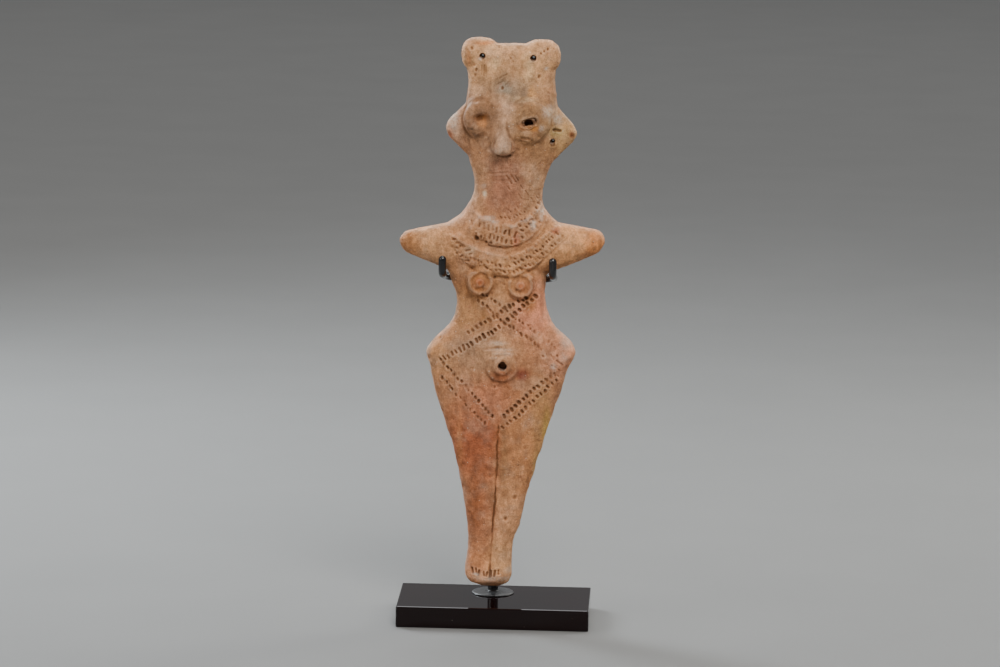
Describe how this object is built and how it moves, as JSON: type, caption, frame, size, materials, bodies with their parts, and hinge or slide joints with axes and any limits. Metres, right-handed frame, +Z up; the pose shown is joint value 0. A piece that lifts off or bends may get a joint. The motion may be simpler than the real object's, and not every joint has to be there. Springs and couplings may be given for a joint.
{
  "type": "terracotta goddess figurine on a stand",
  "caption": "Flat hand-pressed terracotta goddess figurine with stub arms, bird-like face and pierced headdress, held by a post with prongs on a black block.",
  "frame": {"origin": "middle of the block's underside, where the stand rests", "axes": "+Z up, the figurine faces -Y, +X to the right as seen from the front; the block's edges lie along X and Y"},
  "size_m": [0.061, 0.0318, 0.1746],
  "materials": {
    "terracotta": "matte",
    "post_paint": "satin",
    "base_gloss": "gloss"
  },
  "bodies": {
    "root": {"goddess_figurine": "terracotta", "stand_post": "post_paint", "stand_base": "base_gloss"}
  },
  "joints": []
}
